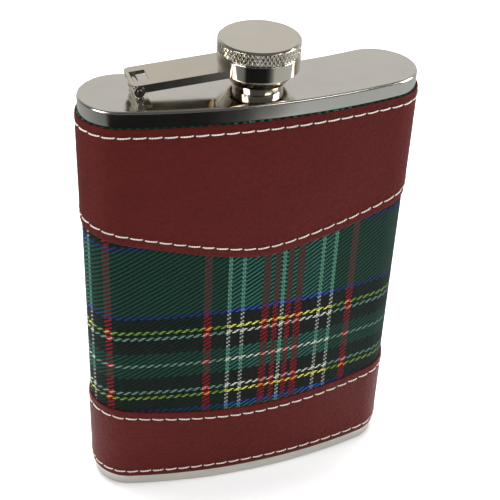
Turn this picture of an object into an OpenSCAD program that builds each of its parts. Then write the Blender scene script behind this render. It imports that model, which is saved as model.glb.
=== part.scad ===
// Hip flask: a curved steel flask body wrapped in tartan cloth and two leather bands,
// with a screw cap held captive on a hinged arm. Millimetres, +Z up.
// The origin is on the base, under the middle of the body. The bowed front faces -Y.

/* [Body] */
// Width across the rounded ends
body_w = 94; // [86:1:100]
// Thickness from front to back
body_t = 22.6; // [21:0.2:25]
// Height of the steel body, without neck and cap
body_h = 131; // [120:1:145]
// How far the middle bows forward of the ends
curve_depth = 4.05; // [3:0.05:6]
// Thickness of the body's steel wall
wall_t = 0.6; // [0.5:0.1:0.8]
// Thickness of the plates at the top and bottom
plate_t = 0.8; // [0.6:0.1:1]
// Thickness of the plates' skirts, which overlap the wall
skirt_t = 0.4; // [0.3:0.1:0.5]
// Height of the top plate's skirt
top_skirt_h = 4.2; // [3:0.1:6]
// Height of the base plate's skirt
base_skirt_h = 4; // [3:0.1:6]
// Radius of the plates' outer edges
edge_r = 0.7; // [0.3:0.1:0.75]

/* [Cloth and leather] */
// How far the cloth stands out past the steel skirts
cloth_proud = 0.3; // [0.2:0.05:0.5]
// Thickness of the leather bands, which lie on the cloth
leather_t = 0.5; // [0.4:0.1:1]
// Gap between the top band and the top plate's skirt
top_band_gap = 0.4; // [0.2:0.1:1]
// Height of the top band's lower edge at the middle
scallop_low = 84.1; // [70:0.1:100]
// Slope of that edge towards the sides
scallop_slope = 0.225; // [0.1:0.005:0.3]
// Height of the bottom band's upper edge at the middle
smile_low = 28.4; // [20:0.1:40]
// Slope of that edge towards the sides
smile_slope = 0.11; // [0.05:0.005:0.15]
// Distance from a leather edge to its row of stitches
stitch_inset = 2.6; // [2:0.1:4]
// Width of the thread
thread_w = 0.5; // [0.4:0.05:0.7]
// How far the thread stands out of the leather
thread_proud = 0.25; // [0.2:0.05:0.4]

/* [Neck] */
// Radius of the neck where it meets the top plate
neck_r = 6.6; // [6.4:0.05:6.7]
// Radius of the neck at the root of its thread
neck_root_r = 6.2; // [6:0.05:6.3]
// Radius of the pouring hole
mouth_r = 5.3; // [4.8:0.1:5.5]
// Height of the neck over the top plate
neck_h = 9; // [8.5:0.1:9]
// Height of the neck's plain foot
neck_foot_h = 2.6; // [2:0.1:3]

/* [Cap] */
// Radius of the cap and of the arm's collar
cap_r = 10.9; // [10.6:0.1:11.2]
// Height of the cap's top over the top plate
cap_top = 13.8; // [13.6:0.1:15]
// Height of the underside of the knurled head
head_bottom = 10.1; // [10:0.1:10.3]
// Outer radius of the threaded hub, which turns in the collar
hub_r = 8.6; // [8.4:0.1:8.8]
// Inner radius of the hub
hub_bore_r = 7.2; // [7.15:0.05:7.4]
// Inner radius of the retaining ring
ring_bore_r = 7.6; // [7.5:0.05:7.7]
// Thickness of the seal
seal_t = 1; // [0.6:0.1:1]

/* [Arm and hinge] */
// Distance from the neck's axis to the end of the arm
arm_end = 34.7; // [33:0.1:36]
// Width of the arm
arm_w = 11.2; // [10.5:0.1:12]
// Thickness of the arm's sheet
arm_t = 0.6; // [0.4:0.1:0.6]
// Depth of the arm's turned-down sides
flange_h = 2.2; // [1.9:0.1:2.4]
// Height of the arm's top at its free end
arm_end_z = 6; // [5.95:0.05:6.2]
// Height of the arm's top where it meets the collar
arm_collar_z = 7.65; // [7:0.05:8.5]
// Radius of the hinge pins
pin_r = 0.5; // [0.4:0.05:0.6]

/* [Hidden] */
$fn = 180;

steel = [0.78, 0.77, 0.74];
burgundy = [0.40, 0.13, 0.13];
tartan_green = [0.10, 0.30, 0.24];
ivory = [0.90, 0.88, 0.80];

// The body's section is a thick arc with round ends: the arc's centre line and where its ends lie.
half_t = body_t / 2;
end_x = body_w / 2 - half_t;
end_y = curve_depth / 2;
line_r = (end_x ^ 2 + curve_depth ^ 2) / (2 * curve_depth);
line_a = asin(end_x / line_r);
line_y = end_y + line_r - curve_depth;
join_step = 0.01;

cloth_in = half_t - skirt_t;
cloth_out = half_t + cloth_proud;
leather_out = cloth_out + leather_t;
fit_gap = 0.1;
top_band_top = body_h - top_skirt_h - top_band_gap;
bottom_band_low = base_skirt_h + fit_gap;

// The round of the two curved edges at the middle of the body.
scallop_blend = 1.6;
smile_blend = 2;
edge_steps = 16;
edge_half_w = body_w / 2 + 4;
// How far a curved row may reach below and above its lowest point.
row_below = 3;
row_above = 11;

neck_y = end_y - curve_depth;
spigot_r = 6;
running_gap = 0.05;
end_gap = 0.15;
bevel = 0.5;
ring_bottom = 2.3;
ring_top = head_bottom - 4.75;
ring_r = 10.1;
ring_low_r = 7.9;
hub_bottom = 4;
hub_top = head_bottom + 2.3;
hub_roof = neck_h + 1.3;
collar_bottom = ring_top + end_gap;
collar_top = head_bottom - end_gap;

// The two pins, seen from the front: [x, height over the top plate].
low_pin = [-32.5, 1.8];
up_pin = [-32.8, 4.3];
ear_r = 1.4;
// How far the arm's ears stand out past its sides.
ear_step = 0.05;
low_roll_r = 1.1;
lug_r = 1.15;
lug_in = 2.6;
lug_out = 4.8;
link_w = 4.8;
rivet_r = 0.75;
arm_slope = atan((arm_collar_z - arm_end_z) / (arm_end - cap_r));
window_w = 5.4;

// The wedge of space that the body's two long sides fill, seen from above.
module between_ends() {
    far = 2 * line_r;
    translate([0, 0, -body_h])
        linear_extrude(height = 3 * body_h)
            polygon([
                [0, line_y],
                [-far * sin(line_a), line_y - far * cos(line_a)],
                [far * sin(line_a), line_y - far * cos(line_a)]
            ]);
}

// Sweeps a solid profile all round the body. The profile's x is the distance out from the body's
// centre line, from -join_step, and its y is the height. The round ends stand join_step proud of
// the long sides, so that the lengths fuse into one solid.
module sweep_round() {
    intersection() {
        translate([0, line_y, 0])
            rotate_extrude()
                translate([line_r, 0]) {
                    children();
                    mirror([1, 0]) children();
                }
        between_ends();
    }
    for (side = [-1, 1])
        translate([side * end_x, end_y, 0])
            rotate_extrude() translate([join_step, 0]) children();
}

// The whole body's section out to a distance from the centre line, between two heights.
module filled(outer, low, high) {
    sweep_round() translate([-join_step, low]) square([outer + join_step, high - low]);
}

// A skin on the body: a band from one distance to another, between two heights.
module skin(inner, outer, low, high) {
    difference() {
        filled(outer, low, high);
        filled(inner, low - 1, high + 1);
    }
}

// Height of a band's curved edge at x, which is a rounded V across the front.
function edge_z(x, low, slope, blend) = low + sqrt((slope * x) ^ 2 + blend ^ 2) - blend;

function edge_points(low, slope, blend) = [
    for (i = [-edge_steps:edge_steps])
        let (x = i / edge_steps * edge_half_w) [x, edge_z(x, low, slope, blend)]
];

// A block right through the body from front to back, with this outline seen from the front.
module through_body(outline) {
    rotate([90, 0, 0])
        linear_extrude(height = body_t * 2, center = true) polygon(outline);
}

// The block under a curved edge.
module below_edge(low, slope, blend) {
    through_body(concat([[edge_half_w, 0], [-edge_half_w, 0]], edge_points(low, slope, blend)));
}

// A row of thread along a curved edge, as one continuous strip.
module curved_row(low, slope, blend) {
    bottom = edge_points(low - thread_w / 2, slope, blend);
    top = edge_points(low + thread_w / 2, slope, blend);
    intersection() {
        skin(leather_out, leather_out + thread_proud, low - row_below, low + row_above);
        through_body(concat(bottom, [for (i = [len(top) - 1:-1:0]) top[i]]));
    }
}

// A row of thread at one height all round.
module level_row(z) {
    skin(leather_out, leather_out + thread_proud, z - thread_w / 2, z + thread_w / 2);
}

// Points of a plate's rounded outer edge, from the side up to the face.
function edge_round(z, dir) = [
    for (a = [0:22.5:90]) [half_t - edge_r + edge_r * cos(a), z + dir * edge_r * (sin(a) - 1)]
];

module on_top() {
    translate([0, neck_y, body_h]) children();
}

// A pin across the hinge, with a flat rivet head at each end.
module hinge_pin(at, length, head_t) {
    on_top() translate([at[0], 0, at[1]]) rotate([90, 0, 0]) {
        cylinder(r = pin_r, h = length, center = true);
        for (side = [-1, 1])
            translate([0, 0, side * (length - head_t) / 2])
                cylinder(r = rivet_r, h = head_t, center = true);
    }
}

module cross_bar(at, r, low, high) {
    translate([at[0], -low, at[1]]) rotate([90, 0, 0]) cylinder(r = r, h = high - low);
}

module body_wall() {
    color(steel)
        skin(cloth_in - wall_t, cloth_in, plate_t, body_h - plate_t);
}

module top_plate() {
    color(steel)
        difference() {
            sweep_round()
                polygon(concat(
                    [[-join_step, body_h - top_skirt_h], [half_t, body_h - top_skirt_h]],
                    edge_round(body_h, 1),
                    [[-join_step, body_h]]
                ));
            filled(cloth_in, body_h - 2 * top_skirt_h, body_h - plate_t);
            on_top() cylinder(r = spigot_r, h = 4 * plate_t, center = true);
        }
}

module base_plate() {
    color(steel)
        difference() {
            sweep_round()
                polygon(concat(
                    [[-join_step, base_skirt_h], [half_t, base_skirt_h]],
                    edge_round(0, -1),
                    [[-join_step, 0]]
                ));
            filled(cloth_in, plate_t, 2 * base_skirt_h);
        }
}

module neck() {
    low = -plate_t - wall_t;
    color(steel)
        on_top()
            rotate_extrude()
                polygon([
                    [mouth_r, low], [spigot_r, low], [spigot_r, 0], [neck_r, 0],
                    [neck_r, neck_foot_h], [neck_root_r, neck_foot_h + 0.4],
                    [neck_root_r, neck_h - 0.4], [neck_root_r - 0.4, neck_h],
                    [mouth_r, neck_h]
                ]);
}

module tartan_wrap() {
    color(tartan_green)
        skin(cloth_in, cloth_out, bottom_band_low, body_h - top_skirt_h - fit_gap);
}

module leather_top_band() {
    color(burgundy)
        difference() {
            skin(cloth_out, leather_out, scallop_low - 2, top_band_top);
            below_edge(scallop_low, scallop_slope, scallop_blend);
        }
}

module leather_bottom_band() {
    color(burgundy)
        intersection() {
            skin(cloth_out, leather_out, bottom_band_low, smile_low + 10);
            below_edge(smile_low, smile_slope, smile_blend);
        }
}

module top_band_upper_stitching() {
    color(ivory)
        level_row(top_band_top - stitch_inset + 0.3);
}

module top_band_lower_stitching() {
    color(ivory)
        curved_row(scallop_low + stitch_inset + 0.3, scallop_slope, scallop_blend);
}

module bottom_band_upper_stitching() {
    color(ivory)
        curved_row(smile_low - stitch_inset, smile_slope, smile_blend);
}

module bottom_band_lower_stitching() {
    color(ivory)
        level_row(bottom_band_low + stitch_inset - 0.4);
}

module hinge_base() {
    foot_t = 0.4;
    foot_x = [low_pin[0] - 0.9, low_pin[0] + 2.9];
    post_w = 1.4;
    color(steel)
        on_top()
            difference() {
                union() {
                    translate([foot_x[0], -lug_out - 0.6, 0])
                        cube([foot_x[1] - foot_x[0], 2 * lug_out + 1.2, foot_t]);
                    for (side = [-1, 1])
                        mirror([0, side > 0 ? 1 : 0, 0]) {
                            cross_bar(low_pin, lug_r, lug_in, lug_out);
                            translate([low_pin[0] - post_w / 2, -lug_out, foot_t / 2])
                                cube([post_w, lug_out - lug_in, low_pin[1] - foot_t / 2]);
                        }
                }
                cross_bar(low_pin, pin_r, -lug_out - 1, lug_out + 1);
            }
}

module lower_pin() {
    color(steel) hinge_pin(low_pin, 2 * lug_out + 0.3, 0.15);
}

module link() {
    dx = up_pin[0] - low_pin[0];
    dz = up_pin[1] - low_pin[1];
    web_t = 1.2;
    color(steel)
        on_top()
            difference() {
                union() {
                    cross_bar(low_pin, low_roll_r, -link_w / 2, link_w / 2);
                    cross_bar(up_pin, low_roll_r, -link_w / 2, link_w / 2);
                    translate([low_pin[0], 0, low_pin[1]])
                        rotate([0, atan2(dx, dz), 0])
                            translate([-web_t / 2, -link_w / 2, 0])
                                cube([web_t, link_w, norm([dx, dz])]);
                }
                for (at = [low_pin, up_pin])
                    cross_bar(at, pin_r + running_gap, -link_w, link_w);
            }
}

module upper_pin() {
    color(steel) hinge_pin(up_pin, arm_w + 2 * ear_step + 0.6, 0.3);
}

// The arm's outline from above: a strip with two rounded corners at its free end.
module arm_outline(length) {
    corner_r = 1.6;
    translate([corner_r, -arm_w / 2]) square([length - corner_r, arm_w]);
    translate([0, -arm_w / 2 + corner_r]) square([length, arm_w - 2 * corner_r]);
    for (side = [-1, 1])
        translate([corner_r, side * (arm_w / 2 - corner_r)]) circle(r = corner_r);
}

module arm() {
    length = arm_end - cap_r + 3;
    flange_x = 0.8;
    inside_w = arm_w - 2 * arm_t;
    window_x = 0.9;
    color(steel)
        on_top()
            difference() {
                union() {
                    translate([-arm_end, 0, arm_end_z])
                        rotate([0, -arm_slope, 0])
                            difference() {
                                translate([0, 0, -flange_h])
                                    linear_extrude(height = flange_h) arm_outline(length);
                                translate([-1, -inside_w / 2, -flange_h - 1])
                                    cube([length + 2, inside_w, flange_h + 1 - arm_t]);
                                translate([-1, -arm_w, -flange_h - 1])
                                    cube([flange_x + 1, 2 * arm_w, flange_h + 1 - arm_t]);
                                translate([window_x, -window_w / 2, -2 * arm_t])
                                    cube([4, window_w, 3 * arm_t]);
                            }
                    for (side = [-1, 1])
                        mirror([0, side > 0 ? 1 : 0, 0])
                            cross_bar(up_pin, ear_r, inside_w / 2 + ear_step, arm_w / 2 + ear_step);
                }
                cylinder(r = cap_r, h = cap_top * 2, center = true);
                cross_bar(up_pin, pin_r, -arm_w, arm_w);
            }
}

module arm_collar() {
    edge = 0.15;
    color(steel)
        on_top()
            rotate_extrude()
                polygon([
                    [hub_r + running_gap, collar_bottom], [cap_r - edge, collar_bottom],
                    [cap_r, collar_bottom + edge], [cap_r, collar_top - edge],
                    [cap_r - edge, collar_top], [hub_r + running_gap, collar_top]
                ]);
}

module cap_head() {
    edge = 0.15;
    color(steel)
        on_top()
            rotate_extrude()
                polygon([
                    [hub_r, head_bottom], [cap_r - edge, head_bottom], [cap_r, head_bottom + edge],
                    [cap_r, cap_top - bevel], [cap_r - bevel, cap_top],
                    [0, cap_top], [0, hub_top], [hub_r, hub_top]
                ]);
}

module cap_hub() {
    color(steel)
        on_top()
            rotate_extrude()
                polygon([
                    [hub_bore_r, hub_bottom], [hub_r, hub_bottom], [hub_r, hub_top],
                    [0, hub_top], [0, hub_roof], [hub_bore_r, hub_roof]
                ]);
}

module cap_retaining_ring() {
    lip_h = 0.35;
    color(steel)
        on_top()
            rotate_extrude()
                polygon([
                    [ring_bore_r, ring_bottom], [ring_low_r, ring_bottom],
                    [ring_r, ring_top - lip_h], [ring_r, ring_top], [hub_r, ring_top],
                    [hub_r, hub_bottom], [ring_bore_r, hub_bottom]
                ]);
}

module cap_seal() {
    color(ivory)
        on_top() translate([0, 0, hub_roof - seal_t - running_gap])
            cylinder(r = hub_bore_r - fit_gap, h = seal_t);
}

body_wall();
top_plate();
base_plate();
neck();
tartan_wrap();
leather_top_band();
leather_bottom_band();
top_band_upper_stitching();
top_band_lower_stitching();
bottom_band_upper_stitching();
bottom_band_lower_stitching();
hinge_base();
lower_pin();
link();
upper_pin();
arm();
arm_collar();
cap_head();
cap_hub();
cap_retaining_ring();
cap_seal();
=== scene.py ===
# %% [markdown]
# # A hip flask in cloth and leather
# The flask is a thin curved bottle of polished steel. A woven tartan cloth is wrapped round it, and
# two leather bands are sewn over the cloth. A screw cap hangs on a hinged arm, so it can't be lost.
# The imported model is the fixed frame: every piece here is made where that frame says, in metres.

# %% Load the frame
import math

import bmesh
import bpy
import numpy as np
from mathutils import Matrix, Vector


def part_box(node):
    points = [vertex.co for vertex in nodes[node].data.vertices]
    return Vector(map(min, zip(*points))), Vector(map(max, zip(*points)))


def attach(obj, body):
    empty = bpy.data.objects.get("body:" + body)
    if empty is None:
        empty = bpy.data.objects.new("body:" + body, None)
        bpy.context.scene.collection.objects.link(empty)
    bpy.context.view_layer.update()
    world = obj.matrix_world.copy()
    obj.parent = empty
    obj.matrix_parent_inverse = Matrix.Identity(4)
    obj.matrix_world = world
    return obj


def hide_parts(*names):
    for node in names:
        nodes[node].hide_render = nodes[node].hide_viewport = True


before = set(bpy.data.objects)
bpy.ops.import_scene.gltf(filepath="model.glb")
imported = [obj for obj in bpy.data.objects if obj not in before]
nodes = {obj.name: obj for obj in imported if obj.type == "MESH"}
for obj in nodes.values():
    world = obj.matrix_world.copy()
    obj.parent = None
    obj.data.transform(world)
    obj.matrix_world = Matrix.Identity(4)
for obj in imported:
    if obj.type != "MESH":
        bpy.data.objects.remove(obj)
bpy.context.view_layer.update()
MM = 0.001

# %% [markdown]
# The camera comes first, because all the looks are judged through it. It looks down at the flask
# from the front and a little to the left. A long lens keeps the sides of the flask nearly parallel,
# as a product picture does.

# %% Camera
YAW, PITCH, ROLL = math.radians(19.507), math.radians(34.614), math.radians(2.822)
STANDPOINT = (-0.0889, -0.2536, 0.2624)
LENS, SENSOR = 80.68, 36
ahead = Vector((math.sin(YAW), math.cos(YAW), 0))
forward = ahead * math.cos(PITCH) - Vector((0, 0, math.sin(PITCH)))
level = Vector((math.cos(YAW), -math.sin(YAW), 0))
upward = level.cross(forward)
right = math.cos(ROLL) * level + math.sin(ROLL) * upward
top = math.cos(ROLL) * upward - math.sin(ROLL) * level

camera_data = bpy.data.cameras.new("camera")
camera_data.lens = LENS
camera_data.sensor_width = SENSOR
camera_data.clip_start = 0.01
camera = bpy.data.objects.new("camera", camera_data)
bpy.context.scene.collection.objects.link(camera)
turned_axes = Matrix((right, top, -forward)).transposed().to_4x4()
camera.matrix_world = Matrix.Translation(STANDPOINT) @ turned_axes
bpy.context.scene.camera = camera
print("camera height in mm:", round(camera.location.z / MM, 1))

# %% [markdown]
# ## The body's outline
# Seen from above, the flask is a thick arc with round ends, shaped to sit against a hip. Everything
# wrapped on it follows that outline, so one function gives a point of the arc's centre line and the
# direction straight out of the surface, for a distance measured along the cloth from the middle of
# the front. Cloth and leather are laid out flat in that distance and the height, as a maker
# would cut them.

# %% The outline as a function of the distance along the cloth
HALF_T = 11.3 * MM
END_X = 35.7 * MM
CURVE_DEPTH = 4.05 * MM
BODY_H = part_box("top_plate")[1].z
LINE_R = (END_X**2 + CURVE_DEPTH**2) / (2 * CURVE_DEPTH)
END_Y = CURVE_DEPTH / 2
LINE_Y = END_Y + LINE_R - CURVE_DEPTH
LINE_A = math.asin(END_X / LINE_R)
NECK = Vector((0, END_Y - CURVE_DEPTH, BODY_H))
CLOTH_IN, CLOTH_OUT, LEATHER_OUT = 10.9 * MM, 11.6 * MM, 12.1 * MM
FRONT_L = (LINE_R + CLOTH_OUT) * LINE_A
END_L = math.pi * CLOTH_OUT
ROUND_L = 2 * (FRONT_L + END_L + (LINE_R - CLOTH_OUT) * LINE_A)


def outline(s):
    """Points of the centre line and outward directions, for distances s from the front's middle."""
    s = np.asarray(s, float)
    side, far = np.sign(s), np.abs(s)
    along_front = s / (LINE_R + CLOTH_OUT)
    along_end = side * (LINE_A + (far - FRONT_L) / CLOTH_OUT)
    along_back = side * (LINE_A - (far - FRONT_L - END_L) / (LINE_R - CLOTH_OUT))
    on_front, on_end = far <= FRONT_L, (far > FRONT_L) & (far <= FRONT_L + END_L)
    facing = np.where(on_front, along_front, np.where(on_end, along_end, along_back + math.pi))
    turn = np.where(on_front, along_front, along_back)
    x = np.where(on_end, side * END_X, LINE_R * np.sin(turn))
    y = np.where(on_end, END_Y, LINE_Y - LINE_R * np.cos(turn))
    return np.stack([x, y], -1), np.stack([np.sin(facing), -np.cos(facing)], -1)


print("round the cloth in mm:", round(ROUND_L / MM, 1))

# %% [markdown]
# ## Helpers for meshes
# A wrap is a closed shell: rings of points round the body, one ring for each point of its
# thickness. A turned piece is a profile spun round an axis, as on a lathe. Both are plain arrays of
# points, which is the quickest way to make an even mesh with exact sizes.

# %% Mesh from arrays
def put(name, data):
    """An object for this mesh, lamp or camera, in the scene."""
    made = bpy.data.objects.new(name, data)
    bpy.context.scene.collection.objects.link(made)
    return made


def new_piece(name, points, faces):
    """A mesh object from an array of points and a list of faces, with its faces turned outward."""
    mesh = bpy.data.meshes.new(name)
    mesh.from_pydata(np.asarray(points).tolist(), [], [list(f) for f in faces])
    co = np.asarray(points)
    halves = [f[:3] for f in faces] + [(f[0], f[2], f[3]) for f in faces if len(f) == 4]
    a, b, c = co[np.array(halves)].transpose(1, 0, 2)
    if (a * np.cross(b, c)).sum() < 0:
        mesh.flip_normals()
    mesh.shade_smooth()
    return put(name, mesh)


def ring_faces(rings, columns, closed=True):
    """Quads between neighbouring rings of points, with the last ring joined to the first."""
    faces = []
    for r in range(rings if closed else rings - 1):
        a, b = r * columns, (r + 1) % rings * columns
        for c in range(columns):
            d = (c + 1) % columns
            faces.append((a + c, a + d, b + d, b + c))
    return faces


def wrap(name, s, out, z):
    """A closed shell round the body. Row r of out and z is a ring: how far out, and how high."""
    base, facing = outline(s)
    points = [np.column_stack([base + facing * o[:, None], h]) for o, h in zip(out, z)]
    return new_piece(name, np.concatenate(points), ring_faces(len(points), len(s)))


def settle(piece):
    """Turns what the modifiers make into the piece's own plain mesh."""
    depsgraph = bpy.context.evaluated_depsgraph_get()
    made = bpy.data.meshes.new_from_object(
        piece.evaluated_get(depsgraph), preserve_all_data_layers=True, depsgraph=depsgraph
    )
    made.name = piece.name
    piece.modifiers.clear()
    piece.data = made
    return piece


def crisp(piece):
    """Normals weighted by face area, so that broad faces stay flat beside small round edges."""
    piece.data.shade_smooth()
    weighted = piece.modifiers.new("normals", "WEIGHTED_NORMAL")
    weighted.weight = 100
    return settle(piece)


# %% Turned pieces
def eased(profile, radius):
    """A profile with a small curve in place of each corner, except corners on the axis."""
    points = []
    for i, corner in enumerate(profile):
        before, after = profile[i - 1], profile[(i + 1) % len(profile)]
        if corner[0] < 1e-9:
            points.append(corner)
            continue
        corner, before, after = Vector(corner), Vector(before), Vector(after)
        back, ahead = before - corner, after - corner
        reach = min(radius, back.length / 2.5, ahead.length / 2.5)
        a, b = corner + back.normalized() * reach, corner + ahead.normalized() * reach
        for t in (0, 0.33, 0.67, 1):
            points.append(tuple(a * (1 - t) ** 2 + corner * 2 * t * (1 - t) + b * t**2))
    return points


def turned(name, profile, radius=0.12, segments=144):
    """A closed profile of (radius, height over the plate) in mm, spun round the neck's axis."""
    profile = eased(profile, radius)
    angles = np.arange(segments) * 2 * math.pi / segments
    points = []
    for r, z in profile:
        ring = np.column_stack([r * np.cos(angles), r * np.sin(angles), np.full(segments, z)])
        points.append(ring * MM + np.array(NECK))
    piece = new_piece(name, np.concatenate(points), ring_faces(len(profile), segments))
    work = bmesh.new()
    work.from_mesh(piece.data)
    bmesh.ops.remove_doubles(work, verts=work.verts, dist=1e-7)
    bmesh.ops.dissolve_degenerate(work, edges=work.edges, dist=1e-7)
    bmesh.ops.recalc_face_normals(work, faces=work.faces)
    work.to_mesh(piece.data)
    work.free()
    return crisp(piece)


def softened(name, node, width):
    """A copy of a frame node with its corners merged and its sharp edges slightly rounded."""
    mesh = nodes[node].data.copy()
    work = bmesh.new()
    work.from_mesh(mesh)
    bmesh.ops.remove_doubles(work, verts=work.verts, dist=2e-6)
    bmesh.ops.dissolve_limit(
        work, angle_limit=math.radians(0.5), verts=work.verts, edges=work.edges
    )
    bmesh.ops.recalc_face_normals(work, faces=work.faces)
    work.to_mesh(mesh)
    work.free()
    mesh.materials.clear()
    piece = put(name, mesh)
    bevel = piece.modifiers.new("edges", "BEVEL")
    bevel.width = width
    bevel.segments = 2
    bevel.limit_method = "ANGLE"
    bevel.angle_limit = math.radians(40)
    bevel.use_clamp_overlap = True
    settle(piece)
    return crisp(piece)


print("helpers ready")

# %% [markdown]
# ## Materials
# Each finish is a small node tree. The helpers below add a node, and join plain arithmetic, so
# that a pattern can be read as a formula. Patterns are measured in real sizes: a grain of leather
# is a few tenths of a millimetre, whatever the size of the piece.

# %% Colour and node helpers
def srgb(r, g, b):
    """A colour as a designer reads it, 0 to 255, as the linear numbers that the shader needs."""
    def linear(v):
        v /= 255
        return v / 12.92 if v <= 0.04045 else ((v + 0.055) / 1.055) ** 2.4
    return (linear(r), linear(g), linear(b), 1)


class NodeTree:
    """A node tree under construction. An input is given as a value, or as another node's output."""

    def add(self, kind, inputs=(), **settings):
        node = self.tree.nodes.new(kind)
        for key, value in settings.items():
            setattr(node, key, value)
        for socket, value in dict(inputs).items():
            if isinstance(value, bpy.types.NodeSocket):
                self.tree.links.new(value, node.inputs[socket])
            else:
                node.inputs[socket].default_value = value
        return node

    def math(self, operation, a, b=0.0, c=0.0):
        return self.add("ShaderNodeMath", {0: a, 1: b, 2: c}, operation=operation).outputs[0]


class Finish(NodeTree):
    """A material under construction, with short ways to add nodes."""

    def __init__(self, name, **values):
        self.material = bpy.data.materials.new(name)
        self.material.use_nodes = True
        self.tree = self.material.node_tree
        self.shader = self.tree.nodes["Principled BSDF"]
        for socket, value in values.items():
            self.shader.inputs[socket.replace("_", " ")].default_value = value

    def mix(self, share, a, b):
        node = self.add("ShaderNodeMix", {0: share, 6: a, 7: b}, data_type="RGBA")
        return node.outputs[2]

    def noise(self, scale, detail=2.0, rough=0.5, where=None):
        where = where or self.add("ShaderNodeTexCoord").outputs["Object"]
        inputs = {"Vector": where, "Scale": scale, "Detail": detail, "Roughness": rough}
        return self.add("ShaderNodeTexNoise", inputs).outputs["Fac"]

    def range(self, value, low, high, to_low, to_high):
        inputs = {0: value, 1: low, 2: high, 3: to_low, 4: to_high}
        return self.add("ShaderNodeMapRange", inputs).outputs[0]

    def bump(self, height, distance, strength=1.0):
        inputs = {"Height": height, "Distance": distance, "Strength": strength}
        return self.add("ShaderNodeBump", inputs).outputs["Normal"]

    def wire(self, **links):
        for socket, value in links.items():
            self.tree.links.new(value, self.shader.inputs[socket.replace("_", " ")])
        return self.material


def paint(piece, *materials):
    piece.data.materials.clear()
    for material in materials:
        piece.data.materials.append(material)


# %% [markdown]
# Polished steel is a mirror, but never a perfect one. Buffing leaves slow waves in the sheet and a
# faint haze of fine marks, and handling leaves smears. Roughness that drifts between a clean and a
# slightly hazy polish gives this without any drawn scratches.

# %% Polished steel
def polished(name, tint, clean, hazy, wave):
    steel = Finish(name, Metallic=1.0)
    smears = steel.noise(140, 4, 0.6)
    fine = steel.noise(2600, 2, 0.6)
    rough = steel.range(smears, 0.35, 0.7, clean, hazy)
    rough = steel.math("ADD", rough, steel.math("MULTIPLY", fine, 0.03))
    shade = steel.mix(smears, srgb(*tint), srgb(*[v - 9 for v in tint]))
    slow = steel.noise(70, 1, 0.4)
    return steel.wire(
        Base_Color=shade, Roughness=rough, Normal=steel.bump(slow, wave, 0.5)
    )


plate_steel = polished("plate_steel", (213, 208, 198), 0.08, 0.17, 0.00010)
# painted shade: the same polished steel as the top plate, tinted darker to stand in for the
# shadowed floor it mirrors
shaded_base_steel = polished("shaded_base_steel", (184, 181, 174), 0.12, 0.22, 0.00010)
cap_steel = polished("cap_steel", (217, 209, 195), 0.05, 0.11, 0.00002)
hinge_steel = polished("hinge_steel", (210, 202, 186), 0.08, 0.17, 0.00001)
print("steels:", plate_steel.name, cap_steel.name, hinge_steel.name)

# %% [markdown]
# The bottle's own wall is plain rolled sheet, which only shows through the open mouth. The grain
# of the rolls runs round it, so the noise is stretched along the height's cross direction.

# %% Plain steel, seal and the painted shade of a needle hole
rolled = Finish("rolled_steel", Metallic=1.0)
place = rolled.add("ShaderNodeTexCoord").outputs["Object"]
stretch = rolled.add("ShaderNodeMapping", {"Vector": place, "Scale": (1, 1, 12)}).outputs[0]
grain = rolled.noise(900, 3, 0.6, stretch)
rolled_steel = rolled.wire(
    Base_Color=rolled.mix(grain, srgb(150, 150, 148), srgb(178, 177, 174)),
    Roughness=rolled.range(grain, 0.3, 0.7, 0.3, 0.45),
    Normal=rolled.bump(grain, 0.00002),
)

soft_seal = Finish("soft_seal")
specks = soft_seal.noise(1500, 3, 0.6)
seal_finish = soft_seal.wire(
    Base_Color=soft_seal.mix(specks, srgb(206, 202, 190), srgb(226, 222, 212)),
    Roughness=soft_seal.range(specks, 0.3, 0.7, 0.5, 0.7),
    Normal=soft_seal.bump(specks, 0.00003),
)

# painted shade: a dark finish for the flat shapes set in the needle holes, standing in for the
# shade inside them
hole_shade = Finish("needle_hole_shade", Roughness=0.9)
shade_mottle = hole_shade.noise(3000, 2, 0.6)
hole_shade_finish = hole_shade.wire(
    Base_Color=hole_shade.mix(shade_mottle, srgb(26, 8, 9), srgb(48, 14, 15))
)

# %% [markdown]
# The leather is a smooth, dyed and pressed hide. Close up it has a fine pebble of cells about a
# third of a millimetre wide, with small pores between them. The dye is a little uneven over
# a few centimetres. The hollows between the cells and along the folds are painted darker, as
# painted shade. A thin wax finish gives a soft sheen rather than a gloss.

# %% Leather
CELLS_PER_M, FOLDS_PER_M = 2600.0, 950.0
BEND = 0.4 * MM
hide = Finish("burgundy_leather", Specular_IOR_Level=0.1)
place = hide.add("ShaderNodeTexCoord").outputs["Object"]
warp_by = hide.add("ShaderNodeTexNoise", {"Vector": place, "Scale": 900.0}).outputs["Color"]
bent = hide.add(
    "ShaderNodeVectorMath", {0: warp_by, 1: (BEND, BEND, BEND), 2: place}, operation="MULTIPLY_ADD"
).outputs[0]
cells = hide.add("ShaderNodeTexVoronoi", {"Vector": bent, "Scale": CELLS_PER_M}).outputs["Distance"]
folds = hide.add(
    "ShaderNodeTexVoronoi", {"Vector": bent, "Scale": FOLDS_PER_M}, feature="SMOOTH_F1"
).outputs["Distance"]
pores = hide.noise(4200, 2, 0.6)
cloudy = hide.noise(60, 3, 0.55)
pitted = hide.math("MULTIPLY_ADD", cells, -0.6, hide.math("MULTIPLY", pores, 0.5))
pebble = hide.math("MULTIPLY_ADD", folds, -1.1, pitted)
dye_and_hollow_shade = hide.mix(cloudy, srgb(74, 14, 10), srgb(86, 22, 17))
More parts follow.
